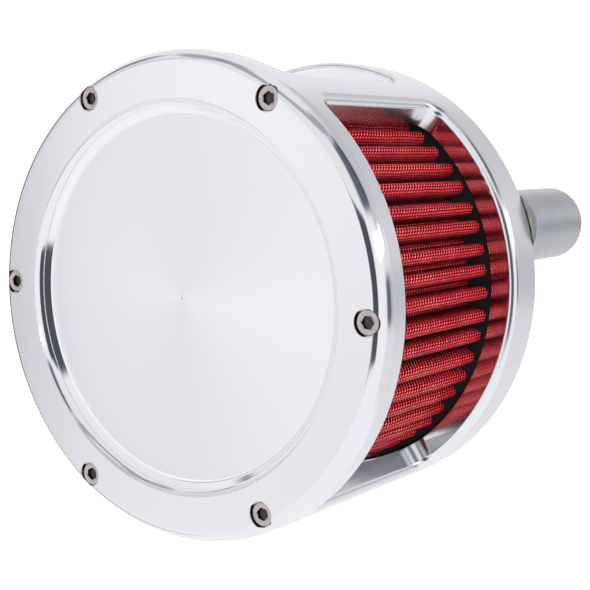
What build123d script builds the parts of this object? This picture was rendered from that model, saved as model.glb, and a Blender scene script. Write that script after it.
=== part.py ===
from build123d import *
from math import acos, atan2, cos, hypot, radians, sin
import os

# Round billet air filter for a motorcycle, as mounted on the engine: the axis lies along Y,
# the front cover faces -Y, the engine is towards +Y, +Z is up. The origin is the centre of the
# intake bore in the rear face. All dimensions are in millimetres; y values are negative in
# front of the rear face.

# ---- body -----------------------------------------------------------------
BODY_R = 82.5              # overall diameter 165
CHAMBER_R = 73.1           # bore of the cage, around the filter
SEAM_Y = -97.6             # joint between the cover and the cage
SEAM_BREAK = 0.25          # broken edges that meet at the joint

# ---- front cover ----------------------------------------------------------
FACE_Y = -103.6            # flat front rim
RIM_R = 79.4               # edge between the flat rim and the outer curve
RECESS_R = 66.4
STEP_OUTER_R = 64.7        # narrow step between the two cones of the recess wall
STEP_INNER_R = 64.3
STEP_Y = -100.3
RECESS_FLOOR_R = 62.2
RECESS_FLOOR_Y = -98.45
RECESS_ROUND = 1.6         # between the inner cone and the floor
RECESS_EDGE = 0.4
SPIGOT_R = 73.0            # locates the cover in the cage bore
SPIGOT_Y = -94.6
SPIGOT_EDGE = 0.5

# ---- cover screws: number 10 socket head, low profile ----------------------
SCREW_COUNT = 6
SCREW_PITCH_R = 76.4
HEAD_TOP_Y = -102.8
HEAD_R = 3.96
HEAD_H = 3.2
SHANK_R = 2.4
SHANK_L = 9.5
HEX_R = 2.29               # corner radius of the 3.97 socket
HEX_DEPTH = 1.9
COUNTERBORE_R = 4.4
CLEARANCE_R = 2.65
TAPPED_R = 2.45
TAPPED_END_Y = -89.6

# ---- cage windows ---------------------------------------------------------
PILLAR_COUNT = 3
PILLAR_FIRST_DEG = 60.0
PILLAR_HALF_DEG = 5.6
WINDOW_FRONT_Y = -88.6
WINDOW_REAR_Y = -16.2
WINDOW_CORNER = 6.35       # cutter radius in the window corners
LIP = 3.0                  # outer round of the window edges
REAR_EDGE = 0.4
FLANGE_R = 61.0            # inner flange that is screwed to the backing plate
FLANGE_FRONT_Y = -8.8
PLATE_FRONT_Y = -6.6

# ---- pleated filter element ------------------------------------------------
PLEATS = 54
TIP_R = 70.5               # outside of the pleats
VALLEY_R = 62.5            # bottom of the valleys, seen from outside
TIP_ROUND = 2.3
VALLEY_ROUND = 1.2
MESH_T = 0.4
GAUZE_T = 1.1
MEDIA_T = 2 * MESH_T + GAUZE_T
CAP_OUTER_R = 72.3
CAP_INNER_R = 57.5
CAP_EDGE = 0.8
MEDIA_FRONT_Y = -90.8
MEDIA_REAR_Y = -13.8
CAP_LIP_R = 60.9
CLIP_W = 3.2
CLIP_DEPTH = 5.0
CLIP_WALL = 0.7
CLIP_GAP = 0.02

# ---- backing plate ---------------------------------------------------------
PLATE_R = 78.9
PLATE_POCKET_R = 79.0
INTAKE_R = 27.5
CAGE_SCREW_COUNT = 6
CAGE_SCREW_PITCH_R = 68.5
CAGE_SCREW_FIRST_DEG = 30.0
CAGE_SCREW_HEAD_R = 3.75
CAGE_SCREW_HEAD_H = 1.9
CAGE_SCREW_HEAD_EDGE = 0.1
CAGE_SCREW_R = 2.0
CAGE_SCREW_END_Y = -1.6
CAGE_SCREW_HOLE_END_Y = -1.2
CAGE_SCREW_HEX_R = 1.45
CAGE_SCREW_HEX_DEPTH = 1.6
CAGE_SCREW_GAP = 0.05      # between each countersunk screw and its seat
CAGE_SCREW_HOLE_R = 2.03
PLATE_RING_R = 62.8
PLATE_RING_CORD_R = 0.7
PLATE_GROOVE_W = 1.8
BODY_RING_R = 31.0         # seal between the plate and the throttle body
BODY_RING_CORD_R = 1.3
BODY_GROOVE_W = 2.9
BODY_GROOVE_DEPTH = 2.0

# ---- velocity stack and throttle body screws -------------------------------
STACK_FLANGE_R = 45.5
STACK_FLANGE_T = 3.0
STACK_WALL = 2.0
STACK_STRAIGHT_Y = -13.0
STACK_FLARE_R = 12.0
STACK_FLARE_DEG = 60.0
BODY_SCREW_PITCH_R = 39.5
BODY_SCREW_R = 3.17
BODY_SCREW_HOLE_R = 3.4
BODY_SCREW_HEAD_R = 4.76
BODY_SCREW_HEAD_H = 6.35
BODY_SCREW_HEX_R = 2.75
BODY_SCREW_HEX_DEPTH = 3.2
BODY_SCREW_GRIP_R = 2.85   # plain part of the shank, as thick as before thread rolling
BODY_SCREW_COUNT = 3
BODY_SCREW_END_Y = 12.0
BODY_SCREW_FIRST_DEG = 90.0

# ---- breather standoffs ----------------------------------------------------
STANDOFF_X = 68.6
STANDOFF_Z = 22.8
STANDOFF_R = 13.5
STANDOFF_FRONT_Y = 0.8
STANDOFF_REAR_Y = 40.0
STANDOFF_EDGE = 0.4
STANDOFF_POCKET_R = 10.9
STANDOFF_POCKET_Y = 3.2
STANDOFF_TAPPED_R = 3.04
STANDOFF_TAPPED_Y = 14.0
STANDOFF_BORE_R = 5.4      # tapping bore for a half inch breather stud
BOLT_R = 3.0
BOLT_HEAD_R = 5.0
BOLT_HEAD_H = 3.5
BOLT_END_Y = 12.0
BOLT_DRILLED_R = 1.4
BOLT_HEX_R = 2.9
BOLT_HEX_DEPTH = 2.0
BOLT_COUNTERBORE_R = 5.5
BOLT_SEAT_Y = -2.6
BOLT_HOLE_R = 3.3
PASSAGE_R = 1.3            # drilled breather passage in the plate
PASSAGE_Y = -3.6
PASSAGE_OUTLET_R = 55.0
PASSAGE_MOUTH_R = 1.8
CUP_HUB_R = 6.0
CUP_BORE_R = 3.2
CUP_OUTER_R = 10.85
CUP_WALL = 0.4
CUP_FLOOR = 0.6
CUP_RIM_Y = 0.9
SEAL_R = 9.05
SEAL_CORD_R = 1.3


def polar(radius, angle_deg):
    """X and Z of a point at this radius and angle from +X, seen from the front."""
    angle = radians(angle_deg)
    return radius * cos(angle), radius * sin(angle)


def ring_points(radius, count, first_deg=0.0):
    return [polar(radius, first_deg + 360.0 * i / count) for i in range(count)]


def section(points, rounds=()):
    """Face in the plane of radius and y; rounds holds (radius, y, size) of rounded corners."""
    face = make_face(Polyline(*points, close=True))
    for radius, y, size in rounds:
        corner = face.vertices().sort_by_distance((radius, y, 0))[0]
        face = fillet(corner, size)
    return face


def turned(points, rounds=()):
    return revolve(section(points, rounds), Axis.Y)


def rod(radius, y_from, y_to, x=0.0, z=0.0):
    """Cylinder along +Y."""
    start = Plane(origin=(x, y_from, z), x_dir=(1, 0, 0), z_dir=(0, 1, 0))
    return extrude(start * Circle(radius), y_to - y_from)


def hexagon(corner_r, y_from, y_to, x=0.0, z=0.0):
    start = Plane(origin=(x, y_from, z), x_dir=(1, 0, 0), z_dir=(0, 1, 0))
    return extrude(start * RegularPolygon(corner_r, 6), y_to - y_from)


def seal_ring(radius, cord_r, y, x=0.0, z=0.0):
    centre = Plane(origin=(x, y, z), x_dir=(1, 0, 0), z_dir=(0, 1, 0))
    return centre * Torus(radius, cord_r)


def cap_screw(head_r, head_h, shank_r, end_y, hex_r, hex_depth, seat_y):
    """Socket head screw on the Y axis, head towards -Y, underside of the head at seat_y."""
    top = seat_y - head_h
    edge = 0.12 * head_r
    tip = 0.25 * shank_r
    outline = [
        (0, top),
        (head_r, top),
        (head_r, seat_y),
        (shank_r, seat_y),
        (shank_r, end_y - tip),
        (shank_r - tip, end_y),
        (0, end_y),
    ]
    screw = turned(outline, [(head_r, top, edge)])
    return screw - hexagon(hex_r, top - 1, top + hex_depth)


def moved_to(shape, points):
    """One copy of the shape at each X and Z, as separate solids."""
    return Compound([Pos(x, 0, z) * shape for x, z in points])


# ---- cover ------------------------------------------------------------------

def front_cover():
    """Dished cover whose outer curve meets the flat rim at an edge."""
    outline = Polyline(
        (RIM_R, FACE_Y),
        (RECESS_R, FACE_Y),
        (STEP_OUTER_R, STEP_Y),
        (STEP_INNER_R, STEP_Y),
        (RECESS_FLOOR_R, RECESS_FLOOR_Y),
        (0, RECESS_FLOOR_Y),
        (0, SPIGOT_Y),
        (SPIGOT_R, SPIGOT_Y),
        (SPIGOT_R, SEAM_Y),
        (BODY_R, SEAM_Y),
    )
    curve = TangentArc((BODY_R, SEAM_Y), (RIM_R, FACE_Y), tangent=(0, -1))
    blank = make_face(outline + curve)
    rounds = [
        (RECESS_FLOOR_R, RECESS_FLOOR_Y, RECESS_ROUND),
        (RECESS_R, FACE_Y, RECESS_EDGE),
        (SPIGOT_R, SPIGOT_Y, SPIGOT_EDGE),
    ]
    for radius, y, size in rounds:
        corner = blank.vertices().sort_by_distance((radius, y, 0))[0]
        blank = fillet(corner, size)
    cover = revolve(blank, Axis.Y)
    seat_y = HEAD_TOP_Y + HEAD_H
    for x, z in ring_points(SCREW_PITCH_R, SCREW_COUNT):
        cover -= rod(COUNTERBORE_R, FACE_Y - 1, seat_y, x, z)
        cover -= rod(CLEARANCE_R, seat_y - 1, SPIGOT_Y + 1, x, z)
    return cover


def cover_screws():
    seat_y = HEAD_TOP_Y + HEAD_H
    screw = cap_screw(HEAD_R, HEAD_H, SHANK_R, seat_y + SHANK_L, HEX_R, HEX_DEPTH, seat_y)
    return moved_to(screw, ring_points(SCREW_PITCH_R, SCREW_COUNT))


# ---- cage ---------------------------------------------------------------------

def window_cutter():
    """One window: a sector with radial side walls and round corners, centred on +X."""
    half = 180.0 / PILLAR_COUNT - PILLAR_HALF_DEG
    inner, outer = CHAMBER_R - 6, BODY_R + 6
    outline = [
        (inner, WINDOW_FRONT_Y),
        (outer, WINDOW_FRONT_Y),
        (outer, WINDOW_REAR_Y),
        (inner, WINDOW_REAR_Y),
    ]
    sector = revolve(section(outline), Axis.Y, revolution_arc=2 * half)
    sector = Rot(0, -half, 0) * sector
    radial = [e for e in sector.edges().filter_by(GeomType.LINE) if e.length < outer - inner + 1]
    return fillet(radial, WINDOW_CORNER)


def round_window_lips(cage):
    """Large round along the outer edge of every window."""
    outer = []
    for edge in cage.edges():
        centre = edge.center(CenterOf.MASS)
        ends = [hypot(v.X, v.Z) for v in edge.vertices()]
        inside = WINDOW_FRONT_Y - 0.1 < centre.Y < WINDOW_REAR_Y + 0.1
        if inside and min(ends) > BODY_R - 0.01:
            outer.append(edge)
    return fillet(outer, LIP)


def cage():
    outline = [
        (CHAMBER_R, SEAM_Y),
        (BODY_R, SEAM_Y),
        (BODY_R, 0),
        (PLATE_POCKET_R, 0),
        (PLATE_POCKET_R, PLATE_FRONT_Y),
        (FLANGE_R, PLATE_FRONT_Y),
        (FLANGE_R, FLANGE_FRONT_Y),
        (CHAMBER_R, FLANGE_FRONT_Y),
    ]
    rounds = [
        (BODY_R, SEAM_Y, SEAM_BREAK),
        (BODY_R, 0, REAR_EDGE),
    ]
    body = turned(outline, rounds)
    cutter = window_cutter()
    for i in range(PILLAR_COUNT):
        middle = PILLAR_FIRST_DEG + 180.0 / PILLAR_COUNT + 360.0 * i / PILLAR_COUNT
        body -= Rot(0, -middle, 0) * cutter
    body = round_window_lips(body)
    for x, z in ring_points(SCREW_PITCH_R, SCREW_COUNT):
        body -= rod(TAPPED_R, SEAM_Y - 1, TAPPED_END_Y, x, z)
    for x, z in ring_points(CAGE_SCREW_PITCH_R, CAGE_SCREW_COUNT, CAGE_SCREW_FIRST_DEG):
        body -= Pos(x, 0, z) * cage_screw_blank(CAGE_SCREW_GAP, PLATE_FRONT_Y + 1)
    return body


def cage_screw_blank(gap, end_y):
    """Countersunk screw on the Y axis, grown by the gap, with its head flush in the flange."""
    head_r = CAGE_SCREW_HEAD_R + gap
    shank_r = CAGE_SCREW_R + gap
    outline = [
        (0, FLANGE_FRONT_Y - gap),
        (head_r, FLANGE_FRONT_Y - gap),
        (head_r, FLANGE_FRONT_Y + CAGE_SCREW_HEAD_EDGE),
        (shank_r, FLANGE_FRONT_Y + CAGE_SCREW_HEAD_H),
        (shank_r, end_y),
        (0, end_y),
    ]
    return turned(outline)


def cage_screws():
    blank = cage_screw_blank(0, CAGE_SCREW_END_Y)
    hex_end_y = FLANGE_FRONT_Y + CAGE_SCREW_HEX_DEPTH
    screw = blank - hexagon(CAGE_SCREW_HEX_R, FLANGE_FRONT_Y - 1, hex_end_y)
    points = ring_points(CAGE_SCREW_PITCH_R, CAGE_SCREW_COUNT, CAGE_SCREW_FIRST_DEG)
    return moved_to(screw, points)


# ---- filter element --------------------------------------------------------------

def pleat_loop(inset):
    """Closed corrugated line, inset from the outside of the pleats."""
    half = radians(180.0 / PLEATS)
    tip_r, valley_r = TIP_ROUND - inset, VALLEY_ROUND + inset
    tip = Vector(TIP_R - TIP_ROUND, 0)
    valley_c = VALLEY_R + VALLEY_ROUND
    valley = Vector(valley_c * cos(half), valley_c * sin(half))
    span = valley - tip
    swing = acos((TIP_ROUND + VALLEY_ROUND) / span.length)
    normal_angle = atan2(span.Y, span.X) - swing
    normal = Vector(cos(normal_angle), sin(normal_angle))
    flank_top = tip + normal * tip_r
    flank_foot = valley - normal * valley_r
    crest = Vector(tip.X + tip_r, 0)
    trough = Vector((valley_c - valley_r) * cos(half), (valley_c - valley_r) * sin(half))
    mirrored_top = Vector(flank_top.X, -flank_top.Y)
    next_foot = Vector(flank_foot.X, -flank_foot.Y).rotate(Axis.Z, 360.0 / PLEATS)
    next_top = mirrored_top.rotate(Axis.Z, 360.0 / PLEATS)
    edges = []
    for i in range(PLEATS):
        turn = 360.0 * i / PLEATS
        points = [mirrored_top, crest, flank_top, flank_foot, trough, next_foot, next_top]
        a, b, c, d, e, f, g = [p.rotate(Axis.Z, turn) for p in points]
        edges.append(Edge.make_three_point_arc(a, b, c))
        edges.append(Edge.make_line(c, d))
        edges.append(Edge.make_three_point_arc(d, e, f))
        edges.append(Edge.make_line(f, g))
    return Wire(edges)


def pleated_shell(outer_inset, inner_inset):
    face = Face(pleat_loop(outer_inset), [pleat_loop(inner_inset)])
    rear = Plane(origin=(0, MEDIA_REAR_Y, 0), x_dir=(1, 0, 0), z_dir=(0, -1, 0))
    return extrude(rear * face, MEDIA_REAR_Y - MEDIA_FRONT_Y)


def filter_front_cap():
    outline = [
        (CAP_INNER_R, SPIGOT_Y),
        (CAP_OUTER_R, SPIGOT_Y),
        (CAP_OUTER_R, MEDIA_FRONT_Y),
        (CAP_INNER_R, MEDIA_FRONT_Y),
    ]
    rounds = [(CAP_OUTER_R, SPIGOT_Y, CAP_EDGE), (CAP_OUTER_R, MEDIA_FRONT_Y, CAP_EDGE)]
    return turned(outline, rounds)


def filter_rear_cap():
    outline = [
        (CAP_INNER_R, MEDIA_REAR_Y),
        (CAP_OUTER_R, MEDIA_REAR_Y),
        (CAP_OUTER_R, FLANGE_FRONT_Y),
        (CAP_LIP_R, FLANGE_FRONT_Y),
        (CAP_LIP_R, PLATE_FRONT_Y),
        (CAP_INNER_R, PLATE_FRONT_Y),
    ]
    rounds = [(CAP_OUTER_R, MEDIA_REAR_Y, CAP_EDGE), (CAP_OUTER_R, FLANGE_FRONT_Y, CAP_EDGE)]
    return turned(outline, rounds)


def media_seam_clip():
    """Folded strip that grips the two ends of the media, inside the element."""
    inner_surface = VALLEY_R - MEDIA_T
    x_from = -(inner_surface - CLIP_GAP)
    length = MEDIA_REAR_Y - MEDIA_FRONT_Y
    middle_y = (MEDIA_REAR_Y + MEDIA_FRONT_Y) / 2
    outside = Box(CLIP_DEPTH, length, CLIP_W, align=(Align.MIN, Align.CENTER, Align.CENTER))
    strip = Pos(x_from, middle_y, 0) * outside
    groove_w = CLIP_W - 2 * CLIP_WALL
    inside = Box(CLIP_DEPTH, length, groove_w, align=(Align.MIN, Align.CENTER, Align.CENTER))
    strip -= Pos(x_from - CLIP_WALL, middle_y, 0) * inside
    return Rot(0, -180.0 / PLEATS, 0) * strip


# ---- backing plate -----------------------------------------------------------------

def groove(radius, width, y_from, y_to):
    """Ring of material to cut away, centred on this radius."""
    inner, outer = radius - width / 2, radius + width / 2
    return turned([(inner, y_from), (outer, y_from), (outer, y_to), (inner, y_to)])


def standoff_points():
    return [(-STANDOFF_X, STANDOFF_Z), (STANDOFF_X, STANDOFF_Z)]


def breather_passage(x, z):
    """Radial drilling from a standoff bolt to its outlet inside the filter."""
    reach = hypot(x, z)
    towards_axis = Vector(-x / reach, 0, -z / reach)
    start = Plane(origin=(x, PASSAGE_Y, z), z_dir=towards_axis)
    drilling = extrude(start * Circle(PASSAGE_R), reach - PASSAGE_OUTLET_R)
    mouth_x, mouth_z = x * PASSAGE_OUTLET_R / reach, z * PASSAGE_OUTLET_R / reach
    return drilling + rod(PASSAGE_MOUTH_R, PLATE_FRONT_Y - 1, PASSAGE_Y, mouth_x, mouth_z)


def backing_plate():
    outline = [
        (INTAKE_R, PLATE_FRONT_Y),
        (PLATE_R, PLATE_FRONT_Y),
        (PLATE_R, 0),
        (INTAKE_R, 0),
    ]
    plate = turned(outline, [(PLATE_R, 0, REAR_EDGE)])
    plate_groove_end = PLATE_FRONT_Y + 2 * PLATE_RING_CORD_R
    plate -= groove(PLATE_RING_R, PLATE_GROOVE_W, PLATE_FRONT_Y - 1, plate_groove_end)
    plate -= groove(BODY_RING_R, BODY_GROOVE_W, -BODY_GROOVE_DEPTH, 1)
    for x, z in ring_points(CAGE_SCREW_PITCH_R, CAGE_SCREW_COUNT, CAGE_SCREW_FIRST_DEG):
        plate -= rod(CAGE_SCREW_HOLE_R, PLATE_FRONT_Y - 1, CAGE_SCREW_HOLE_END_Y, x, z)
    for x, z in ring_points(BODY_SCREW_PITCH_R, BODY_SCREW_COUNT, BODY_SCREW_FIRST_DEG):
        plate -= rod(BODY_SCREW_HOLE_R, PLATE_FRONT_Y - 1, 1, x, z)
    for x, z in standoff_points():
        plate -= rod(BOLT_COUNTERBORE_R, PLATE_FRONT_Y - 1, BOLT_SEAT_Y, x, z)
        plate -= rod(BOLT_HOLE_R, PLATE_FRONT_Y - 1, 1, x, z)
        plate -= breather_passage(x, z)
    return plate


def velocity_stack():
    """Bell mouth with a flange that the throttle body screws clamp to the plate."""
    flange_y = PLATE_FRONT_Y - STACK_FLANGE_T
    flare_r = INTAKE_R + STACK_FLARE_R
    wall_r = STACK_FLARE_R - STACK_WALL

    def on_flare(radius, angle_deg):
        angle = radians(angle_deg)
        return (flare_r - radius * cos(angle), STACK_STRAIGHT_Y - radius * sin(angle))

    middle, end = STACK_FLARE_DEG / 2, STACK_FLARE_DEG
    inner = ThreePointArc(
        on_flare(STACK_FLARE_R, 0), on_flare(STACK_FLARE_R, middle), on_flare(STACK_FLARE_R, end)
    )
    outer = ThreePointArc(on_flare(wall_r, end), on_flare(wall_r, middle), on_flare(wall_r, 0))
    lip = Line(on_flare(STACK_FLARE_R, end), on_flare(wall_r, end))
    rest = Polyline(
        on_flare(wall_r, 0),
        (INTAKE_R + STACK_WALL, flange_y),
        (STACK_FLANGE_R, flange_y),
        (STACK_FLANGE_R, PLATE_FRONT_Y),
        (INTAKE_R, PLATE_FRONT_Y),
        on_flare(STACK_FLARE_R, 0),
    )
    stack = revolve(make_face(Curve() + [inner, lip, outer, rest]), Axis.Y)
    for x, z in ring_points(BODY_SCREW_PITCH_R, BODY_SCREW_COUNT, BODY_SCREW_FIRST_DEG):
        stack -= rod(BODY_SCREW_HOLE_R, flange_y - 1, PLATE_FRONT_Y + 1, x, z)
    return stack


def throttle_body_screws():
    """Quarter inch screws with a plain grip as far as the rear face of the plate."""
    seat_y = PLATE_FRONT_Y - STACK_FLANGE_T
    screw = cap_screw(
        BODY_SCREW_HEAD_R, BODY_SCREW_HEAD_H, BODY_SCREW_R,
        BODY_SCREW_END_Y, BODY_SCREW_HEX_R, BODY_SCREW_HEX_DEPTH, seat_y,
    )
    screw -= groove(
        (BODY_SCREW_GRIP_R + BODY_SCREW_HOLE_R) / 2, BODY_SCREW_HOLE_R - BODY_SCREW_GRIP_R, seat_y, 0
    )
    points = ring_points(BODY_SCREW_PITCH_R, BODY_SCREW_COUNT, BODY_SCREW_FIRST_DEG)
    return moved_to(screw, points)


# ---- standoffs -----------------------------------------------------------------------

def standoff(x):
    outline = [
        (STANDOFF_POCKET_R, STANDOFF_FRONT_Y),
        (STANDOFF_R - STANDOFF_EDGE, STANDOFF_FRONT_Y),
        (STANDOFF_R, STANDOFF_FRONT_Y + STANDOFF_EDGE),
        (STANDOFF_R, STANDOFF_REAR_Y - STANDOFF_EDGE),
        (STANDOFF_R - STANDOFF_EDGE, STANDOFF_REAR_Y),
        (STANDOFF_BORE_R, STANDOFF_REAR_Y),
        (STANDOFF_BORE_R, STANDOFF_TAPPED_Y),
        (STANDOFF_TAPPED_R, STANDOFF_TAPPED_Y),
        (STANDOFF_TAPPED_R, STANDOFF_POCKET_Y),
        (STANDOFF_POCKET_R, STANDOFF_POCKET_Y),
    ]
    return Pos(x, 0, STANDOFF_Z) * turned(outline)


def breather_bolts():
    """Bolts drilled along their axis, so that breather gas can pass."""
    bolt = cap_screw(
        BOLT_HEAD_R, BOLT_HEAD_H, BOLT_R, BOLT_END_Y, BOLT_HEX_R, BOLT_HEX_DEPTH, BOLT_SEAT_Y,
    )
    bolt -= rod(BOLT_DRILLED_R, BOLT_SEAT_Y - BOLT_HEAD_H, BOLT_END_Y + 1)
    return moved_to(bolt, standoff_points())


def seal_cups():
    """Plated cup washers that space the standoffs from the plate and hold the seals."""
    floor_y = STANDOFF_POCKET_Y - CUP_FLOOR
    rim_inner = CUP_OUTER_R - CUP_WALL
    outline = [
        (CUP_BORE_R, 0),
        (CUP_HUB_R, 0),
        (CUP_HUB_R, floor_y),
        (rim_inner, floor_y),
        (rim_inner, CUP_RIM_Y),
        (CUP_OUTER_R, CUP_RIM_Y),
        (CUP_OUTER_R, STANDOFF_POCKET_Y),
        (CUP_BORE_R, STANDOFF_POCKET_Y),
    ]
    return moved_to(turned(outline), standoff_points())


def standoff_seals():
    return moved_to(seal_ring(SEAL_R, SEAL_CORD_R, SEAL_CORD_R), standoff_points())


# ---- write every piece -----------------------------------------------------------------

nodes = {
    "front_cover": front_cover(),
    "cover_screws": cover_screws(),
    "window_cage": cage(),
    "cage_screws": cage_screws(),
    "filter_outer_mesh": pleated_shell(0, MESH_T),
    "filter_gauze": pleated_shell(MESH_T, MESH_T + GAUZE_T),
    "filter_inner_mesh": pleated_shell(MESH_T + GAUZE_T, MEDIA_T),
    "filter_front_cap": filter_front_cap(),
    "filter_rear_cap": filter_rear_cap(),
    "media_seam_clip": media_seam_clip(),
    "backing_plate": backing_plate(),
    "plate_seal": seal_ring(PLATE_RING_R, PLATE_RING_CORD_R, PLATE_FRONT_Y + PLATE_RING_CORD_R),
    "velocity_stack": velocity_stack(),
    "throttle_body_screws": throttle_body_screws(),
    "throttle_body_seal": seal_ring(
        BODY_RING_R, BODY_RING_CORD_R, BODY_RING_CORD_R - BODY_GROOVE_DEPTH
    ),
    "standoff_left": standoff(-STANDOFF_X),
    "standoff_right": standoff(STANDOFF_X),
    "breather_bolts": breather_bolts(),
    "seal_cups": seal_cups(),
    "standoff_seals": standoff_seals(),
}

os.makedirs("parts", exist_ok=True)
for name, shape in nodes.items():
    export_step(shape, f"parts/{name}.step")
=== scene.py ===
import bpy
import math
from mathutils import Matrix, Vector


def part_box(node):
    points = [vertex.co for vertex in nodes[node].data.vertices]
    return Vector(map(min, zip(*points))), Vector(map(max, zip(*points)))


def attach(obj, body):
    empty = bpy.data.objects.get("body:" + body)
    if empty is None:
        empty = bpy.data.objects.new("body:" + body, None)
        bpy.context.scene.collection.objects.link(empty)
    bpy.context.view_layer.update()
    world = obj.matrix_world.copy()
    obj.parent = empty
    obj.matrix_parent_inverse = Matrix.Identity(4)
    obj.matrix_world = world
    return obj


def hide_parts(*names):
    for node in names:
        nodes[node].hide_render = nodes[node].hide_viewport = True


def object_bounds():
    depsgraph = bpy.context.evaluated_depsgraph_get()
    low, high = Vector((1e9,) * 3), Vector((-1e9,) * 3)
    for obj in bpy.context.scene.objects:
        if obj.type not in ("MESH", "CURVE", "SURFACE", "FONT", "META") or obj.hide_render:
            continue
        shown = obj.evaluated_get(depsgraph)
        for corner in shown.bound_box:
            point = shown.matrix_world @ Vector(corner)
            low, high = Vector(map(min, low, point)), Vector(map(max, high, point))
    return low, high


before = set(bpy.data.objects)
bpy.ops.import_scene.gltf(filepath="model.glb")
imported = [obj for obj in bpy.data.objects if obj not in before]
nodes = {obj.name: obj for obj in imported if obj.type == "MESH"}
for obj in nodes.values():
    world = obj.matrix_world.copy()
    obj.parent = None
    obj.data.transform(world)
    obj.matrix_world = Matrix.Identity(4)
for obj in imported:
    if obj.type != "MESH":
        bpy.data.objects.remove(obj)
cad_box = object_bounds()

MM = 0.001
ROUND = 2 * math.pi

# Sizes of the CAD model that the pieces and materials made here share, in metres.
BODY_R = 82.5 * MM
SEAM_Y = -97.6 * MM              # between the cover and the cage

# The cover, from its rim inwards.
FACE_Y = -103.6 * MM
RIM_R = 79.4 * MM                # where the flat rim meets the outer curve
SHOULDER = 7.36 * MM             # radius of the outer curve
RECESS_R = 66.4 * MM
STEP_OUTER_R = 64.7 * MM
STEP_INNER_R = 64.3 * MM
STEP_Y = -100.3 * MM
RECESS_FLOOR_R = 62.2 * MM
RECESS_FLOOR_Y = -98.45 * MM
RECESS_ROUND = 1.6 * MM

# The cage's windows.
PILLAR_COUNT = 3
WINDOW_HALF = math.radians(54.4)
WINDOW_FRONT_Y = -88.6 * MM
WINDOW_REAR_Y = -16.2 * MM
WINDOW_CORNER = 6.35 * MM
LIP = 3.0 * MM                   # outer round of the window edges

# The pleated element.
PLEATS = 54
TIP_R = 70.5 * MM
VALLEY_R = 62.5 * MM
TIP_ROUND = 2.3 * MM
VALLEY_ROUND = 1.2 * MM
MESH_T = 0.4 * MM
GAUZE_T = 1.1 * MM

# Cover screws and throttle body screws.
SCREW_COUNT = 6
SCREW_PITCH_R = 76.4 * MM
HEAD_TOP_Y = -102.8 * MM
SOCKET_CORNER_R = 2.29 * MM
BODY_SCREW_COUNT = 3
BODY_SCREW_PITCH_R = 39.5 * MM

# Finishes.
RIM_SOFT = 1.3 * MM              # how far in from its edge the rim is polished round
COVE_FOOT = math.radians(44.0)   # tilt of the polished recess wall at its foot and at its edge
COVE_EDGE = math.radians(70.0)
ROW_PITCH = 1.05 * MM            # wire cloth: between wires that run along the pleats
WIRE_PITCH = 0.87 * MM           # and between wires that run across them
WEAVE_SLANT = 0.4
PAINTED_CROWN_GLINT = (0.90, 0.32, 0.37)    # painted pinkish highlights on the wire crowns
GAUZE_PITCH = 0.7 * MM
FLOOR_GLOW = 0.70


# ---- shader building -----------------------------------------------------------

class Shader:
    """A node tree under construction: each method adds one node and returns its output."""

    def __init__(self, tree):
        self.tree = tree
        self.add = tree.nodes.new

    def link(self, value, socket):
        if hasattr(value, "is_linked"):
            self.tree.links.new(value, socket)
        elif value is not None:
            socket.default_value = value

    def math(self, operation, a, b=None, c=None):
        node = self.add("ShaderNodeMath")
        node.operation = operation
        for value, socket in zip((a, b, c), node.inputs):
            self.link(value, socket)
        return node.outputs[0]

    def vector(self, operation, a, b=None):
        node = self.add("ShaderNodeVectorMath")
        node.operation = operation
        self.link(a, node.inputs[0])
        self.link(b, node.inputs[1])
        scalar = operation in ("LENGTH", "DOT_PRODUCT", "DISTANCE")
        return node.outputs["Value" if scalar else "Vector"]

    def scaled(self, vector, factor):
        node = self.add("ShaderNodeVectorMath")
        node.operation = "SCALE"
        self.link(vector, node.inputs[0])
        self.link(factor, node.inputs["Scale"])
        return node.outputs["Vector"]

    def split(self, vector):
        node = self.add("ShaderNodeSeparateXYZ")
        self.link(vector, node.inputs[0])
        return node.outputs[0], node.outputs[1], node.outputs[2]

    def join(self, x, y, z=0.0):
        node = self.add("ShaderNodeCombineXYZ")
        for value, socket in zip((x, y, z), node.inputs):
            self.link(value, socket)
        return node.outputs[0]

    def coordinates(self, kind="Object"):
        """Object coordinates are the frame's metres, because every object sits at the origin."""
        return self.add("ShaderNodeTexCoord").outputs[kind]

    def step(self, value, low, high, to_low=0.0, to_high=1.0):
        node = self.add("ShaderNodeMapRange")
        node.interpolation_type = "SMOOTHSTEP"
        for item, socket in zip((value, low, high, to_low, to_high), node.inputs):
            self.link(item, socket)
        return node.outputs[0]

    def band(self, value, low, high, soft):
        """1 between low and high, fading to 0 over the soft width on both sides."""
        rise = self.step(value, low - soft, low + soft)
        fall = self.step(value, high - soft, high + soft, 1.0, 0.0)
        return self.math("MULTIPLY", rise, fall)

    def noise(self, vector, scale, detail=2.0, roughness=0.5, w=None):
        node = self.add("ShaderNodeTexNoise")
        if w is not None:
            node.noise_dimensions = "1D"
            self.link(w, node.inputs["W"])
        else:
            self.link(vector, node.inputs["Vector"])
        node.inputs["Scale"].default_value = scale
        node.inputs["Detail"].default_value = detail
        node.inputs["Roughness"].default_value = roughness
        return node.outputs["Fac"]

    def mix(self, factor, a, b):
        node = self.add("ShaderNodeMix")
        node.data_type = "RGBA"
        self.link(factor, node.inputs[0])
        self.link(colour(a), node.inputs[6])
        self.link(colour(b), node.inputs[7])
        return node.outputs[2]

    def bump(self, height, distance, strength=1.0, normal=None):
        node = self.add("ShaderNodeBump")
        self.link(height, node.inputs["Height"])
        node.inputs["Distance"].default_value = distance
        node.inputs["Strength"].default_value = strength
        self.link(normal, node.inputs["Normal"])
        return node.outputs[0]


def colour(value):
    if isinstance(value, (tuple, list)) and len(value) == 3:
        return (*value, 1.0)
    return value


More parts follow.
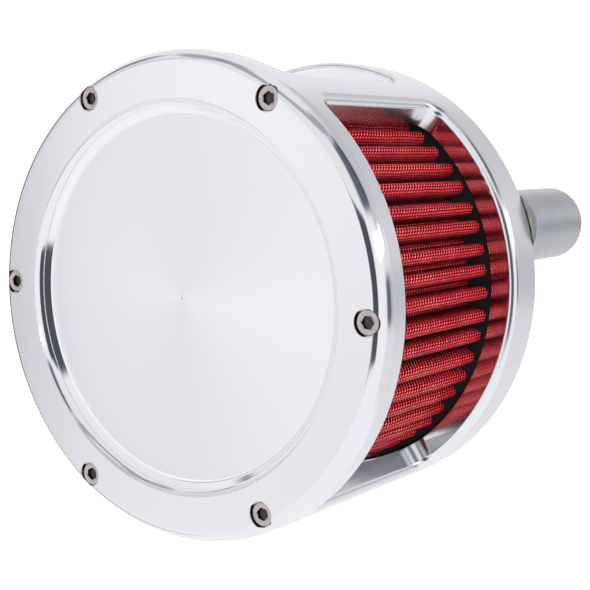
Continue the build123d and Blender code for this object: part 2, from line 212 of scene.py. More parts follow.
def material(name, base, metallic=0.0, roughness=0.5, normal=None, **others):
    """Principled material. base, roughness, normal and others may be functions of the shader."""
    made = bpy.data.materials.new(name)
    made.use_nodes = True
    shader = Shader(made.node_tree)
    surface = made.node_tree.nodes["Principled BSDF"]
    settings = {"Base Color": base, "Metallic": metallic, "Roughness": roughness, "Normal": normal}
    settings.update({key.replace("_", " "): value for key, value in others.items()})
    for socket, value in settings.items():
        if callable(value):
            value = value(shader)
        shader.link(colour(value), surface.inputs[socket])
    return made


def radius_and_angle(s, cx=0.0, cz=0.0):
    """Distance from the Y axis through cx, cz, and the angle round it."""
    x, y, z = s.split(s.coordinates())
    dx = s.math("SUBTRACT", x, cx)
    dz = s.math("SUBTRACT", z, cz)
    radius = s.vector("LENGTH", s.join(dx, 0.0, dz))
    return radius, s.math("ARCTAN2", dz, dx)


def from_axes(s, pitch_r, count):
    """Distance from the nearest of a ring of axes that run along Y, the first one at +X."""
    radius, angle = radius_and_angle(s)
    half = math.pi / count
    folded = s.math("WRAP", angle, half, -half)
    outwards = s.math("SUBTRACT", s.math("MULTIPLY", radius, s.math("COSINE", folded)), pitch_r)
    sideways = s.math("MULTIPLY", radius, s.math("SINE", folded))
    return s.vector("LENGTH", s.join(outwards, 0.0, sideways))


def radial_tangent(s):
    node = s.add("ShaderNodeTangent")
    node.direction_type = "RADIAL"
    node.axis = "Y"
    return node.outputs[0]


def choose(s, condition, if_true, if_false):
    """One of two vectors, by a condition of 1 or 0."""
    node = s.add("ShaderNodeMix")
    node.data_type = "VECTOR"
    s.link(condition, node.inputs[0])
    s.link(if_false, node.inputs[4])
    s.link(if_true, node.inputs[5])
    return node.outputs[1]


def exact_normal(s, wanted, fit=0.96):
    """The exact normal of a turned or rounded surface, kept only where it fits the facet."""
    geometry = s.add("ShaderNodeNewGeometry")
    wanted = s.vector("NORMALIZE", wanted)
    agrees = s.math("GREATER_THAN", s.vector("DOT_PRODUCT", wanted, geometry.outputs["True Normal"]), fit)
    return choose(s, agrees, wanted, geometry.outputs["Normal"])


def outward(s):
    """Unit vector away from the Y axis."""
    x, y, z = s.split(s.coordinates())
    return s.vector("NORMALIZE", s.join(x, 0.0, z))


def along_section(s, radial, axial):
    """Vector from its parts away from the Y axis and along it."""
    return s.vector("ADD", s.scaled(outward(s), radial), s.join(0.0, axial, 0.0))


def cover_normal(s):
    """Normals of the cover, ring by ring from the middle of the dish to the outer curve."""
    radius, angle = radius_and_angle(s)
    x, y, z = s.split(s.coordinates())
    flat = (0.0, -1.0, 0.0)
    cone = Vector((STEP_Y - RECESS_FLOOR_Y, RECESS_FLOOR_R - STEP_INNER_R)).normalized()
    round_y = RECESS_FLOOR_Y - RECESS_ROUND
    round_r = RECESS_FLOOR_R + RECESS_ROUND * (1 + cone.y) / cone.x
    cone_r = round_r - RECESS_ROUND * cone.x
    into_round = along_section(s, s.math("SUBTRACT", round_r, radius), s.math("SUBTRACT", round_y, y))
    curve = along_section(s, s.math("SUBTRACT", radius, BODY_R - SHOULDER), s.math("SUBTRACT", y, SEAM_Y))
    worn = s.step(radius, RIM_R - RIM_SOFT, RIM_R, 0.0, RIM_R - (BODY_R - SHOULDER))
    cove = s.step(radius, STEP_OUTER_R, RECESS_R, COVE_FOOT, COVE_EDGE)
    wall = along_section(s, s.math("MULTIPLY", s.math("SINE", cove), -1.0),
                         s.math("MULTIPLY", s.math("COSINE", cove), -1.0))
    normal = flat
    for start, ring_normal in (
        (round_r, into_round),
        (cone_r, along_section(s, cone.x, cone.y)),
        (STEP_INNER_R, flat),
        (STEP_OUTER_R, wall),
        (RECESS_R, flat),
        (RIM_R - RIM_SOFT, along_section(s, worn, FACE_Y - SEAM_Y)),
        (RIM_R, curve),
    ):
        normal = choose(s, s.math("GREATER_THAN", radius, start), ring_normal, normal)
    return exact_normal(s, normal, 0.8)


def window_edge(s):
    """Distance from the nearest window, the direction towards it, and how far into a corner it is."""
    x, y, z = s.split(s.coordinates())
    radius, angle = radius_and_angle(s)
    half_sector = math.pi / PILLAR_COUNT
    folded = s.math("WRAP", angle, half_sector, -half_sector)
    side = s.math("SIGN", folded)
    wall = s.math("ADD", s.math("SUBTRACT", angle, folded), s.math("MULTIPLY", side, WINDOW_HALF))
    across = s.join(
        s.math("MULTIPLY", s.math("SINE", wall), s.math("MULTIPLY", side, -1.0)),
        0.0,
        s.math("MULTIPLY", s.math("COSINE", wall), side),
    )
    into_pillar = s.vector("DOT_PRODUCT", s.coordinates(), across)
    off_middle = s.math("SUBTRACT", y, (WINDOW_FRONT_Y + WINDOW_REAR_Y) / 2)
    into_ring = s.math("SUBTRACT", s.math("ABSOLUTE", off_middle), (WINDOW_REAR_Y - WINDOW_FRONT_Y) / 2)
    a = s.math("MAXIMUM", s.math("ADD", into_pillar, WINDOW_CORNER), 0.0)
    b = s.math("MAXIMUM", s.math("ADD", into_ring, WINDOW_CORNER), 0.0)
    inwards = s.vector(
        "ADD",
        s.scaled(across, a),
        s.join(0.0, s.math("MULTIPLY", b, s.math("SIGN", off_middle)), 0.0),
    )
    distance = s.math("SUBTRACT", s.vector("LENGTH", inwards), WINDOW_CORNER)
    towards = s.vector("NORMALIZE", s.scaled(inwards, -1.0))
    corner = s.step(s.math("MINIMUM", a, b), 0.4 * MM, 2.5 * MM)
    return distance, towards, corner


def cage_normal(s):
    radius, angle = radius_and_angle(s)
    distance, towards, corner = window_edge(s)
    out = s.math("MAXIMUM", s.math("SUBTRACT", radius, BODY_R - LIP), 0.0)
    wall = s.math("MAXIMUM", s.math("SUBTRACT", LIP, distance), 0.0)
    return exact_normal(s, s.vector("ADD", s.scaled(outward(s), out), s.scaled(towards, wall)))


# ---- materials -------------------------------------------------------------------

def polished_aluminium():
    """Cover: flats turned on a lathe, so they blur reflections outwards; rounds polished bright."""
    def flat(s):
        normal = s.add("ShaderNodeNewGeometry").outputs["Normal"]
        x, y, z = s.split(normal)
        return s.step(s.math("ABSOLUTE", y), 0.985, 0.9985)

    def lines(s):
        radius, angle = radius_and_angle(s)
        fine = s.noise(None, 9000.0, 3.0, 0.6, w=radius)
        broad = s.noise(None, 900.0, 2.0, 0.5, w=radius)
        height = s.math("ADD", s.math("MULTIPLY", fine, 0.4), broad)
        return s.bump(height, 0.5e-6, normal=cover_normal(s))

    def rough(s):
        radius, angle = radius_and_angle(s)
        rings = s.noise(None, 5000.0, 2.0, 0.5, w=radius)
        haze = s.noise(s.coordinates(), 35.0, 3.0)
        total = s.math("ADD", s.math("MULTIPLY", rings, 0.05), s.math("MULTIPLY", haze, 0.04))
        on_rim = s.step(radius, RECESS_FLOOR_R, RECESS_R, 0.30, 0.15)
        return s.math("ADD", total, s.math("MULTIPLY_ADD", flat(s), s.math("SUBTRACT", on_rim, 0.05), 0.05))

    def stretch(s):
        radius, angle = radius_and_angle(s)
        return s.math("MULTIPLY", flat(s), s.step(radius, RECESS_FLOOR_R, RECESS_R, 0.68, 0.35))

    def tone(s):
        radius, angle = radius_and_angle(s)
        bright = s.mix(s.step(radius, RECESS_FLOOR_R, RECESS_R), (0.935, 0.935, 0.955), (0.88, 0.88, 0.90))
        return s.mix(s.step(radius, 0.25 * MM, 0.6 * MM), (0.55, 0.55, 0.57), bright)

    return material(
        "polished_aluminium", tone, 1.0, rough, lines,
        Anisotropic=stretch, Tangent=radial_tangent,
    )


def satin_aluminium():
    """Outside turned satin; window walls keep the cutter's marks; flat faces are turned and polished."""
    def outside(s):
        radius, angle = radius_and_angle(s)
        return s.step(radius, BODY_R - 0.12 * MM, BODY_R - 0.04 * MM)

    def blend(s, wall, turned):
        mask = outside(s)
        return s.math("ADD", s.math("MULTIPLY", turned, mask),
                      s.math("MULTIPLY", wall, s.math("SUBTRACT", 1.0, mask)))

    def flange(s):
        x, y, z = s.split(s.add("ShaderNodeNewGeometry").outputs["Normal"])
        return s.step(s.math("ABSOLUTE", y), 0.94, 0.985)

    def cutter(s, scale, detail):
        x, y, z = s.split(s.coordinates())
        radius, angle = radius_and_angle(s)
        return s.noise(s.join(y, s.math("MULTIPLY", angle, BODY_R)), scale, detail, 0.6)

    def rough(s):
        x, y, z = s.split(s.coordinates())
        rings = s.noise(None, 4000.0, 3.0, 0.6, w=y)
        satin = s.math("ADD", s.math("MULTIPLY", rings, 0.1), 0.24)
        walls = s.math("ADD", s.math("MULTIPLY", cutter(s, 1500.0, 2.0), 0.04), 0.18)
        walls = s.math("MULTIPLY", walls, s.step(flange(s), 0.0, 1.0, 1.0, 0.45))
        return blend(s, walls, satin)

    def lines(s):
        x, y, z = s.split(s.coordinates())
        turning = s.noise(None, 6000.0, 3.0, 0.6, w=y)
        distance, towards, corner = window_edge(s)
        depth = s.step(corner, 0.0, 1.0, 0.7, 26.0)
        marks = s.math("MULTIPLY", cutter(s, 800.0, 3.0), depth)
        marks = s.math("MULTIPLY", marks, s.step(flange(s), 0.0, 1.0, 1.0, 0.1))
        return s.bump(blend(s, marks, turning), 1.5e-6, normal=cage_normal(s))

    def stretch(s):
        return s.math("MAXIMUM", s.math("MULTIPLY", outside(s), 0.5), s.math("MULTIPLY", flange(s), 0.7))

    return material(
        "satin_aluminium", (0.86, 0.87, 0.89), 1.0, rough, lines,
        Anisotropic=stretch, Tangent=radial_tangent,
    )


def machined_aluminium():
    def lines(s):
        radius, angle = radius_and_angle(s)
        return s.bump(s.noise(None, 2500.0, 3.0, 0.6, w=radius), 2.0e-6)

    def rough(s):
        return s.step(s.noise(s.coordinates(), 60.0, 4.0), 0.2, 0.8, 0.26, 0.36)

    return material("machined_aluminium", (0.80, 0.81, 0.83), 1.0, rough, lines,
                    Anisotropic=0.5, Tangent=radial_tangent)


def turned_aluminium():
    def lines(s):
        x, y, z = s.split(s.coordinates())
        return s.bump(s.noise(None, 5000.0, 2.0, 0.5, w=y), 1.5e-6)

    def rough(s):
        return s.step(s.noise(s.coordinates(), 80.0, 3.0), 0.2, 0.8, 0.14, 0.22)

    return material("turned_aluminium", (0.86, 0.86, 0.87), 1.0, rough, lines)


def blasted_aluminium():
    """Fine bead blasting: small dimples and an even matt grey."""
    def dimples(s):
        place = s.coordinates()
        fine = s.noise(place, 3500.0, 2.0, 0.5)
        coarse = s.noise(place, 900.0, 2.0, 0.5)
        return s.bump(s.math("ADD", fine, s.math("MULTIPLY", coarse, 0.6)), 12.0e-6, 0.8)

    def tone(s):
        return s.mix(s.noise(s.coordinates(), 120.0, 4.0), (0.50, 0.52, 0.55), (0.60, 0.62, 0.65))

    return material("blasted_aluminium", tone, 1.0, 0.36, dimples)


def clip_aluminium():
    def lines(s):
        x, y, z = s.split(s.coordinates())
        return s.bump(s.noise(s.join(s.math("MULTIPLY", x, 30.0), y, s.math("MULTIPLY", z, 30.0)), 90.0),
                      3.0e-6)

    return material("clip_aluminium", (0.78, 0.78, 0.80), 1.0, 0.33, lines)


def screw_metal(name, tone, roughness, socket=None):
    """Cold headed screw metal, a little darker in patches, with painted shade down in the sockets."""
    def tint(s):
        patch = s.noise(s.coordinates(), 900.0, 4.0, 0.6)
        darker = tuple(0.78 * part for part in tone)
        metal = s.mix(s.step(patch, 0.35, 0.75), tone, darker)
        if not socket:
            return metal
        axes, corner_r, top_y = socket
        x, y, z = s.split(s.coordinates())
        across = s.step(from_axes(s, *axes), corner_r * 1.03, corner_r * 1.12, 1.0, 0.0)
        socket_shade_depth = s.band(y, top_y + 0.3 * MM, top_y + 2.1 * MM, 0.2 * MM)
        # Painted shade: inside each hex socket the metal is taken down to 0.12 of its tone.
        return s.mix(s.math("MULTIPLY", across, socket_shade_depth), metal, tuple(0.12 * part for part in tone))

    def rough(s):
        return s.step(s.noise(s.coordinates(), 1500.0, 3.0), 0.3, 0.7, roughness, roughness + 0.12)

    def skin(s):
        return s.bump(s.noise(s.coordinates(), 2500.0, 3.0), 6.0e-6, 0.6)

    return material(name, tint, 1.0, rough, skin)


def urethane():
    def skin(s):
        return s.bump(s.noise(s.coordinates(), 1800.0, 4.0, 0.6), 30.0e-6, 0.6)

    def tone(s):
        return s.mix(s.noise(s.coordinates(), 90.0, 3.0), (0.003, 0.0025, 0.003), (0.007, 0.006, 0.007))

    return material("black_urethane", tone, 0.0, 0.5, skin, Specular_IOR_Level=0.14)


def seal_rubber():
    def skin(s):
        return s.bump(s.noise(s.coordinates(), 2600.0, 3.0), 15.0e-6, 0.5)

    def tone(s):
        return s.mix(s.noise(s.coordinates(), 150.0, 3.0), (0.012, 0.012, 0.013), (0.028, 0.028, 0.03))

    return material("seal_rubber", tone, 0.0, 0.35, skin)


def yellow_zinc():
    def tone(s):
        hue = s.step(s.noise(s.coordinates(), 160.0, 3.0), 0.3, 0.7)
        return s.mix(hue, (0.83, 0.60, 0.22), (0.72, 0.66, 0.36))

    def skin(s):
        return s.bump(s.noise(s.coordinates(), 1500.0, 3.0), 5.0e-6, 0.6)

    return material("yellow_zinc", tone, 1.0, 0.22, skin)


def wire_crowns(s, u, v):
    """Domes of the two wire families where they pass over each other. u and v are in pitches."""
    row = s.math("ROUND", u)
    du = s.math("SUBTRACT", u, row)
    place = s.math("MULTIPLY_ADD", s.math("ADD", v, row), 0.5, -0.4 * WEAVE_SLANT)
    place = s.math("SUBTRACT", place, s.math("MULTIPLY", du, WEAVE_SLANT))

    def dome(du_scale, dv, dv_scale):
        across = s.math("MULTIPLY", du, du_scale)
        along = s.math("MULTIPLY", dv, dv_scale)
        fall = s.math("ADD", s.math("MULTIPLY", across, across), s.math("MULTIPLY", along, along))
        return s.math("SQRT", s.math("MAXIMUM", s.math("SUBTRACT", 1.0, fall), 0.0))

    over = s.math("SUBTRACT", place, s.math("ROUND", place))
    shifted = s.math("ADD", place, 0.5)
    under = s.math("SUBTRACT", shifted, s.math("ROUND", shifted))
    return dome(2.0, over, 3.6), dome(3.2, under, 3.2)


def woven_red(name, lightest, body_tone, under_wire_shade_tone, hole_shade_tone):
    """Red coated wire cloth, with painted shade under its crossing wires, in its holes and down the pleat
    flanks, and painted pinkish highlights on its crowns. Its UV map is metres along and across the cloth.
    """
    def crowns(s):
        u, v, w = s.split(s.coordinates("UV"))
        wander = s.noise(s.coordinates(), 90.0, 2.0)
        u = s.math("ADD", u, s.math("MULTIPLY", wander, 0.5 * ROW_PITCH))
        return wire_crowns(s, s.math("DIVIDE", u, ROW_PITCH), s.math("DIVIDE", v, WIRE_PITCH))

    def tone(s):
        over, under = crowns(s)
        oil = s.noise(s.coordinates(), 60.0, 3.0)
        red = s.mix(s.step(oil, 0.35, 0.7), body_tone, lightest)
        # Painted shade: the wires that pass underneath take a dark red, and the holes between the wires a
        # near black.
        low = s.mix(s.step(under, 0.1, 0.8), hole_shade_tone, under_wire_shade_tone)
        wires = s.mix(s.step(over, 0.1, 0.75), low, red)
        # Painted highlight: pinkish specks of colour on the tops of the over-wire crowns, in patches.
        glint_spots = s.step(s.noise(s.coordinates(), 900.0, 1.0), 0.57, 0.66)
        wires = s.mix(s.math("MULTIPLY", glint_spots, s.step(over, 0.45, 0.9, 0.0, 0.55)), wires, PAINTED_CROWN_GLINT)
        # Painted shade: by radius, the pleat flanks are taken to near black while the crests keep their
        # colour and the valley floors keep a strip of it. The floor factor is that valley strip's share.
        radius, angle = radius_and_angle(s)
        painted_shade_by_radius = s.step(radius, 64.0 * MM, 69.8 * MM, 0.06, 1.0)
        floor = s.step(radius, 62.2 * MM, 63.4 * MM, 0.8, 0.0)
        return s.mix(s.math("MAXIMUM", painted_shade_by_radius, floor), (0.004, 0.0, 0.001), wires)

    def shine(s):
        over, under = crowns(s)
        return s.step(over, 0.3, 0.9, 0.02, 0.9)

    def skin(s):
        over, under = crowns(s)
        return s.bump(s.math("MAXIMUM", over, s.math("MULTIPLY", under, 0.55)), 0.30 * MM, 1.0)

    return material(name, tone, 0.0, 0.25, skin, Specular_IOR_Level=shine)


def gauze():
    def pitches(s):
        u, v, w = s.split(s.coordinates("UV"))
        return s.math("DIVIDE", u, GAUZE_PITCH), s.math("DIVIDE", v, GAUZE_PITCH)

    def tone(s):
        over, under = wire_crowns(s, *pitches(s))
        # Painted shade: the gaps between the thread crowns are a dark red, the crowns a lighter red.
        return s.mix(s.math("MAXIMUM", over, under), (0.10, 0.003, 0.006), (0.40, 0.02, 0.03))

    def skin(s):
        over, under = wire_crowns(s, *pitches(s))
        return s.bump(s.math("MAXIMUM", over, under), 0.2 * MM, 0.8)

    return material("cotton_gauze", tone, 0.0, 0.8, skin, Sheen_Weight=0.3)


# ---- mesh building -----------------------------------------------------------------

def piece(name, vertices, faces, body, made_of, smooth_deg=35.0):
    mesh = bpy.data.meshes.new(name)
    mesh.from_pydata(vertices, [], faces)
    mesh.validate()
    mesh.update()
    mesh.materials.append(made_of)
    obj = bpy.data.objects.new(name, mesh)
    bpy.context.scene.collection.objects.link(obj)
    mesh.polygons.foreach_set("use_smooth", [True] * len(mesh.polygons))
    mesh.set_sharp_from_angle(angle=math.radians(smooth_deg))
    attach(obj, body)
    return obj


def pleat_outline(inset, steps_round=7, steps_flank=7):
    """Points of the closed corrugated line, and how far along it each one is."""
    half = math.pi / PLEATS
    tip_r, valley_r = TIP_ROUND - inset, VALLEY_ROUND + inset
    tip_c = TIP_R - TIP_ROUND
    valley_c = VALLEY_R + VALLEY_ROUND
    to_valley = Vector((valley_c * math.cos(half) - tip_c, valley_c * math.sin(half)))
    turn = math.acos((TIP_ROUND + VALLEY_ROUND) / to_valley.length)
    flank_at = math.atan2(to_valley.y, to_valley.x) - turn
    points = []
    for pleat in range(PLEATS):
        middle = 2 * half * pleat
        lean = 0.35 * math.sin(2.7 * pleat) + 0.25 * math.sin(7.1 * pleat + 1.0)
        rise = (0.22 * math.sin(4.3 * pleat + 0.5) - 0.2) * MM
        around = lean * half * 0.3

        def put(radius, angle):
            share = min(1.0, max(0.0, (radius - VALLEY_R) / (TIP_R - VALLEY_R)))
            at = middle + angle + around * share
            reach = radius + rise * share
            points.append((reach * math.cos(at), reach * math.sin(at)))

        def arc(centre, centre_angle, radius, start, end, steps):
            cx, cz = centre * math.cos(centre_angle), centre * math.sin(centre_angle)
            for i in range(steps + 1):
                a = start + (end - start) * i / steps
                x, z = cx + radius * math.cos(a), cz + radius * math.sin(a)
                put(math.hypot(x, z), math.atan2(z, x))

        def straight(steps):
            top = (tip_c + tip_r * math.cos(flank_at), tip_r * math.sin(flank_at))
            foot_x = valley_c * math.cos(half) - valley_r * math.cos(flank_at)
            foot_z = valley_c * math.sin(half) - valley_r * math.sin(flank_at)
            for i in range(1, steps):
                share = i / steps
                x = top[0] + (foot_x - top[0]) * share
                z = top[1] + (foot_z - top[1]) * share
                yield x, z

        flank = list(straight(steps_flank))
        for x, z in reversed(flank):
            put(math.hypot(x, z), -math.atan2(z, x))
        arc(tip_c, 0.0, tip_r, -flank_at, flank_at, 2 * steps_round)
        for x, z in flank:
            put(math.hypot(x, z), math.atan2(z, x))
        arc(valley_c, half, valley_r, flank_at + math.pi, 2 * half - flank_at + math.pi,
            steps_round)
    lengths = [0.0]
    for a, b in zip(points, points[1:] + points[:1]):
        lengths.append(lengths[-1] + math.dist(a, b))
    return points, lengths


def pleated_layer(name, node, inset, thickness, made_of, rows=24):
    """Corrugated sheet with its UV map in metres along and across. Every pleat is a little uneven."""
    low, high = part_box(node)
    rear, front = high.y, low.y
    outer, along = pleat_outline(inset)
    inner, unused = pleat_outline(inset + thickness)
    count = len(outer)
    vertices = []
    for sheet in (outer, inner):
        for row in range(rows + 1):
            y = front + (rear - front) * row / rows
            wave = 0.12 * MM * math.sin(row * 0.9)
            for i, (x, z) in enumerate(sheet):
                shift = wave * math.sin(i * 0.21)
                vertices.append((x + shift * x / TIP_R, y, z + shift * z / TIP_R))
    faces = []
    loops_uv = []
    layer = count * (rows + 1)

    def add(corner_list, uvs):
        faces.append(corner_list)
        loops_uv.extend(uvs)

    for sheet in range(2):
        base = sheet * layer
        for row in range(rows):
            v0 = (rear - front) * row / rows
            v1 = (rear - front) * (row + 1) / rows
            for i in range(count):
                j = (i + 1) % count
                a, b = base + row * count + i, base + row * count + j
                c, d = b + count, a + count
                u0, u1 = along[i], along[i + 1]
                if sheet == 0:
                    add((a, b, c, d), [(u0, v0), (u1, v0), (u1, v1), (u0, v1)])
                else:
                    add((a, d, c, b), [(u0, v0), (u0, v1), (u1, v1), (u1, v0)])
    for row, flip in ((0, True), (rows, False)):
        v = (rear - front) * row / rows
        for i in range(count):
            j = (i + 1) % count
            a, b = row * count + i, row * count + j
            c, d = b + layer, a + layer
            u0, u1 = along[i], along[i + 1]
            if flip:
                add((a, d, c, b), [(u0, v), (u0, v), (u1, v), (u1, v)])
            else:
                add((a, b, c, d), [(u0, v), (u1, v), (u1, v), (u0, v)])
    mesh = bpy.data.meshes.new(name)
    mesh.from_pydata(vertices, [], faces)
    uv = mesh.uv_layers.new(name="cloth")
    flat = [value for pair in loops_uv for value in pair]
    uv.data.foreach_set("uv", flat)
    mesh.materials.append(made_of)
    mesh.polygons.foreach_set("use_smooth", [True] * len(mesh.polygons))
    mesh.update()
    mesh.set_sharp_from_angle(angle=math.radians(60.0))
    obj = bpy.data.objects.new(name, mesh)
    bpy.context.scene.collection.objects.link(obj)
    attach(obj, "element")
    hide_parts(node)
    return obj


def hexagon_r(corner_r, angle):
    """How far a hexagon reaches in the direction of the angle, one corner being at 0."""
    return corner_r * math.cos(math.pi / 6) / math.cos(angle % (math.pi / 3) - math.pi / 6)


def screw_rings(top, seat, end, head_r, edge, corner_r, depth, shank_r, plain_end, plain_r, pitch):
    """Rings of a socket screw from the bottom of its socket to its end: (y, radius at an angle)."""
    def circle(y, radius):
        return lambda angle: (radius, y)

    def hexagon(y, corner):
        return lambda angle: (hexagon_r(corner, angle), y)

    def thread(y, cut):
        def at(angle):
            turn = (y / pitch - angle / ROUND) % 1.0
            flank = min(1.0, max(0.0, abs(turn - 0.5) * 2.6 - 0.15))
            return shank_r - cut * flank, y
        return at

    rings = [
        circle(top + depth + 0.45 * MM, 0.01 * MM),
        hexagon(top + depth, corner_r * 0.98),
        hexagon(top + depth * 0.5, corner_r * 0.98),
        hexagon(top + 0.3 * MM, corner_r * 0.98),
        circle(top + 0.06 * MM, corner_r * 1.06),
        circle(top, corner_r * 1.12),
        circle(top, head_r - edge),
    ]
    for i in range(1, 7):
        turn = math.pi / 2 * i / 6
        rings.append(circle(top + edge * (1 - math.cos(turn)), head_r - edge * (1 - math.sin(turn))))
    rings += [circle(seat - 0.1 * MM, head_r), circle(seat, head_r - 0.1 * MM), circle(seat, plain_r)]
    rings.append(circle(plain_end, plain_r))
    cut = 0.58 * pitch
    rows = int((end - plain_end - 0.6 * pitch) / pitch * 8)
    for row in range(1, rows + 1):
        fade = min(1.0, row / 8.0)
        y = plain_end + pitch / 8 * row
        rings.append(thread(y, cut * fade))
    rings.append(circle(end - 0.02 * MM, shank_r - cut))
    rings.append(circle(end, (shank_r - cut) * 0.93))
    rings.append(circle(end, 0.01 * MM))
    return rings


def screw_set(name, node, body, axes, made_of, rings, segments=48):
    """One mesh of equal screws, each turned to its own angle."""
    vertices, faces = [], []
    for number, (cx, cz) in enumerate(axes):
        turned = 0.37 * number * number + 0.2 * number
        base = len(vertices)
        for ring in rings:
            for i in range(segments):
                angle = ROUND * i / segments
                radius, y = ring(angle)
                at = angle + turned
                vertices.append((cx + radius * math.cos(at), y, cz + radius * math.sin(at)))
        last = len(rings) - 1
        for row in range(last):
            for i in range(segments):
                j = (i + 1) % segments
                a, b = base + row * segments + i, base + row * segments + j
                faces.append((a, b, b + segments, a + segments))
        faces.append(tuple(base + i for i in reversed(range(segments))))
        faces.append(tuple(base + last * segments + i for i in range(segments)))
    obj = piece(name, vertices, faces, body, made_of, 28.0)
    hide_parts(node)
    return obj


def ring_of_axes(pitch_r, count, first_deg):
    """Points (x, z) of a bolt circle, in the order that the angle grows from +X towards +Z."""
    angles = [math.radians(first_deg) + ROUND * i / count for i in range(count)]
    return [(pitch_r * math.cos(a), pitch_r * math.sin(a)) for a in angles]


# ---- camera, floor and light ------------------------------------------------------

def camera():
    data = bpy.data.cameras.new("camera")
    data.lens = 77.0
    data.sensor_width = 36.0
    data.clip_start = 0.01
    data.clip_end = 20.0
    obj = bpy.data.objects.new("camera", data)
    bpy.context.scene.collection.objects.link(obj)
    azimuth, elevation, roll = math.radians(35.683), math.radians(7.252), math.radians(1.022)
    back = Vector((
        math.sin(azimuth) * math.cos(elevation),
        -math.cos(azimuth) * math.cos(elevation),
        math.sin(elevation),
    ))
    turned = back.to_track_quat("Z", "Y").to_matrix() @ Matrix.Rotation(roll, 3, "Z")
    obj.matrix_world = Matrix.Translation((0.27535, -0.416934, 0.055196)) @ turned.to_4x4()
    bpy.context.scene.camera = obj
    return obj


def floor():
    """Round white floor that curves up into a wall on all sides, seen by the camera only."""
    z = cad_box[0].z
    flat_r, curve_r, wall = 2.4, 1.2, 3.0
    profile = [(0.02, z), (0.6, z), (flat_r, z)]
    for i in range(1, 17):
        a = math.pi / 2 * i / 16
        profile.append((flat_r + curve_r * math.sin(a), z + curve_r * (1 - math.cos(a))))
    profile.append((flat_r + curve_r, z + curve_r + wall))
    sides = 96
    vertices = []
    for radius, height in profile:
        for i in range(sides):
            a = ROUND * i / sides
            vertices.append((radius * math.cos(a), radius * math.sin(a), height))
    faces = [tuple(range(sides))]
    for row in range(len(profile) - 1):
        for i in range(sides):
            a, b = row * sides + i, row * sides + (i + 1) % sides
            faces.append((a, a + sides, b + sides, b))
    mesh = bpy.data.meshes.new("floor")
    mesh.from_pydata(vertices, [], faces)
    mesh.polygons.foreach_set("use_smooth", [True] * len(mesh.polygons))

    def tone(s):
        return s.mix(s.noise(s.coordinates(), 6.0, 2.0), (0.64, 0.64, 0.64), (0.67, 0.67, 0.67))

    made_of = material("white_floor", tone, 0.0, 0.9)
    surface = made_of.node_tree.nodes["Principled BSDF"]
    surface.inputs["Emission Color"].default_value = (1.0, 1.0, 1.0, 1.0)
    surface.inputs["Emission Strength"].default_value = FLOOR_GLOW
    mesh.materials.append(made_of)
    obj = bpy.data.objects.new("floor", mesh)
    bpy.context.scene.collection.objects.link(obj)
    obj.visible_glossy = False
    obj.visible_diffuse = False
    obj.visible_shadow = False
    return obj


# Patches of the studio's sky: azimuth from, to and blur, elevation from, to and blur, brightness kept.
# Degrees; azimuth 0 is in front of the cover and grows towards +X.
SKY_PATCHES = (
    (-60.0, -47.5, 2.5, -20.0, 40.0, 8.0, 0.50),   # left wall, seen in the rim's left side
    (-98.0, -84.0, 4.0, -20.0, 45.0, 8.0, 0.25),   # dark edge on the far left
    (-96.0, -62.0, 8.0, 50.0, 66.0, 3.0, 0.50),    # edge above on the left
    (-100.0, 115.0, 10.0, 64.0, 76.0, 4.0, 0.50),  # edge overhead
    (-37.0, 14.0, 3.0, -25.0, 30.0, 6.0, 0.91),    # grey patch in front
    (-46.0, 12.0, 8.0, -7.0, 30.0, 6.0, 1.10),     # brighter patch in front, further left
    (104.0, 200.0, 10.0, -35.0, 60.0, 9.0, 0.84),  # back wall, from the right
    (-200.0, -168.0, 10.0, -35.0, 60.0, 9.0, 0.84),  # back wall, past the rear
    (104.0, 200.0, 10.0, -9.0, 7.0, 4.0, 0.66),    # shadow along the back wall, from the right
    (-200.0, -168.0, 10.0, -9.0, 7.0, 4.0, 0.66),  # shadow along the back wall, past the rear
    (104.0, 200.0, 10.0, 17.0, 70.0, 5.0, 0.80),   # back wall's top, from the right
    (-200.0, -168.0, 10.0, 17.0, 70.0, 5.0, 0.80),  # back wall's top, past the rear
    (22.0, 58.0, 2.5, -22.0, 28.0, 2.5, 0.09),     # dark opening on the right
    (70.0, 122.0, 12.0, 33.0, 62.0, 4.0, 0.17),    # dark edge overhead on the right
    (102.0, 128.0, 9.0, -9.0, 8.0, 4.0, 0.30),     # dark strip on the right
)
# The lamp: azimuth from, to and blur, elevation from, to and blur, strength.
LAMP = (80.0, 130.0, 6.0, 17.0, 23.0, 2.0, 3.0)


def studio():
    """White tent as the sky, with the patches and the lamp that the polished edges mirror."""
    world = bpy.data.worlds.new("studio")
    world.use_nodes = True
    bpy.context.scene.world = world
    s = Shader(world.node_tree)
    background = world.node_tree.nodes["Background"]
    x, y, z = s.split(s.vector("NORMALIZE", s.coordinates("Generated")))
    azimuth = s.math("MULTIPLY", s.math("ARCTAN2", x, s.math("MULTIPLY", y, -1.0)), 180 / math.pi)
    elevation = s.math("MULTIPLY", s.math("ARCSINE", z), 180 / math.pi)
    level = s.step(elevation, 16.0, 46.0, 0.98, 0.88)
    for *patch, kept in SKY_PATCHES:
        covered = s.math("MULTIPLY", s.band(azimuth, *patch[:3]), s.band(elevation, *patch[3:]))
        level = s.math("MULTIPLY", level, s.step(covered, 0.0, 1.0, 1.0, kept))
    *patch, strength = LAMP
    lamp = s.math("MULTIPLY", s.band(azimuth, *patch[:3]), s.band(elevation, *patch[3:]))
    level = s.math("ADD", level, s.math("MULTIPLY", lamp, strength))
    tint = s.mix(s.step(level, 0.0, 0.7), (0.78, 0.88, 1.16), (0.985, 0.977, 1.0))
    s.link(tint, background.inputs["Color"])
    s.link(level, background.inputs["Strength"])


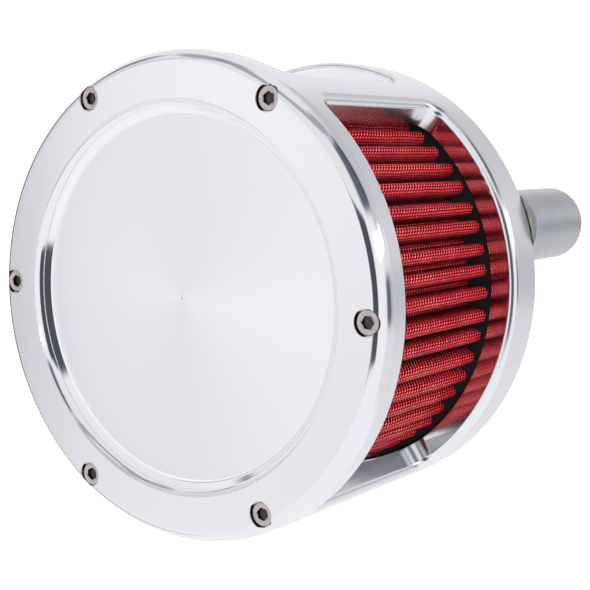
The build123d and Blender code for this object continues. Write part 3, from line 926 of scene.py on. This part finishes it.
def key_light():
    """Strip softbox beside the camera."""
    data = bpy.data.lights.new("key", "AREA")
    data.shape = "RECTANGLE"
    data.size = 0.16
    data.size_y = 0.34
    data.energy = 17.0
    obj = bpy.data.objects.new("key", data)
    bpy.context.scene.collection.objects.link(obj)
    azimuth, elevation, reach = math.radians(40.0), math.radians(10.0), 1.0
    towards = Vector((
        math.sin(azimuth) * math.cos(elevation),
        -math.cos(azimuth) * math.cos(elevation),
        math.sin(elevation),
    ))
    obj.location = Vector((0.0, -0.06, 0.0)) + towards * reach
    obj.rotation_mode = "QUATERNION"
    obj.rotation_quaternion = towards.to_track_quat("Z", "Y")
    obj.visible_glossy = False


camera()
floor()
studio()
key_light()
bpy.context.scene.view_settings.view_transform = "Standard"

# ---- finishes of the CAD nodes --------------------------------------------------------

STAINLESS = screw_metal(
    "stainless", (0.62, 0.55, 0.54), 0.24, ((SCREW_PITCH_R, SCREW_COUNT), SOCKET_CORNER_R, HEAD_TOP_Y)
)
PLATED = screw_metal("zinc_plated", (0.70, 0.71, 0.72), 0.26)
BLACK_STEEL = screw_metal("black_oxide", (0.06, 0.06, 0.065), 0.35)
# The last two colours are painted shade: one for the wires that pass underneath, one for the holes between
# the wires.
RED_MESH = woven_red(
    "red_wire_cloth", (0.98, 0.065, 0.065), (0.80, 0.024, 0.038), (0.10, 0.002, 0.008), (0.006, 0.0, 0.001)
)
GAUZE = gauze()
FINISHES = {
    "front_cover": polished_aluminium(),
    "cover_screws": STAINLESS,
    "window_cage": satin_aluminium(),
    "cage_screws": BLACK_STEEL,
    "filter_outer_mesh": RED_MESH,
    "filter_gauze": GAUZE,
    "filter_inner_mesh": RED_MESH,
    "filter_front_cap": urethane(),
    "media_seam_clip": clip_aluminium(),
    "backing_plate": machined_aluminium(),
    "plate_seal": seal_rubber(),
    "velocity_stack": turned_aluminium(),
    "throttle_body_screws": PLATED,
    "standoff_left": blasted_aluminium(),
    "breather_bolts": PLATED,
    "seal_cups": yellow_zinc(),
}
FINISHES["filter_rear_cap"] = FINISHES["filter_front_cap"]
FINISHES["standoff_right"] = FINISHES["standoff_left"]
FINISHES["throttle_body_seal"] = FINISHES["plate_seal"]
FINISHES["standoff_seals"] = FINISHES["plate_seal"]

for name, obj in nodes.items():
    obj.data.materials.clear()
    obj.data.materials.append(FINISHES[name])

pleated_layer("outer_wire_cloth", "filter_outer_mesh", 0.0, MESH_T, RED_MESH)
pleated_layer("cotton_gauze", "filter_gauze", MESH_T, GAUZE_T, GAUZE)
pleated_layer("inner_wire_cloth", "filter_inner_mesh", MESH_T + GAUZE_T, MESH_T, RED_MESH)

screw_set(
    "cover_socket_screws", "cover_screws", "screws",
    ring_of_axes(SCREW_PITCH_R, SCREW_COUNT, 0.0), STAINLESS,
    screw_rings(
        top=HEAD_TOP_Y, seat=-99.6 * MM, end=-90.1 * MM, head_r=3.96 * MM, edge=0.45 * MM,
        corner_r=SOCKET_CORNER_R, depth=1.45 * MM, shank_r=2.4 * MM,
        plain_end=-99.4 * MM, plain_r=2.1 * MM, pitch=1.06 * MM,
    ),
)
screw_set(
    "throttle_body_socket_screws", "throttle_body_screws", "housing",
    ring_of_axes(BODY_SCREW_PITCH_R, BODY_SCREW_COUNT, 90.0), PLATED,
    screw_rings(
        top=-15.95 * MM, seat=-9.6 * MM, end=12.0 * MM, head_r=4.76 * MM, edge=0.5 * MM,
        corner_r=2.75 * MM, depth=2.75 * MM, shank_r=3.17 * MM,
        plain_end=0.0, plain_r=2.85 * MM, pitch=1.27 * MM,
    ),
)
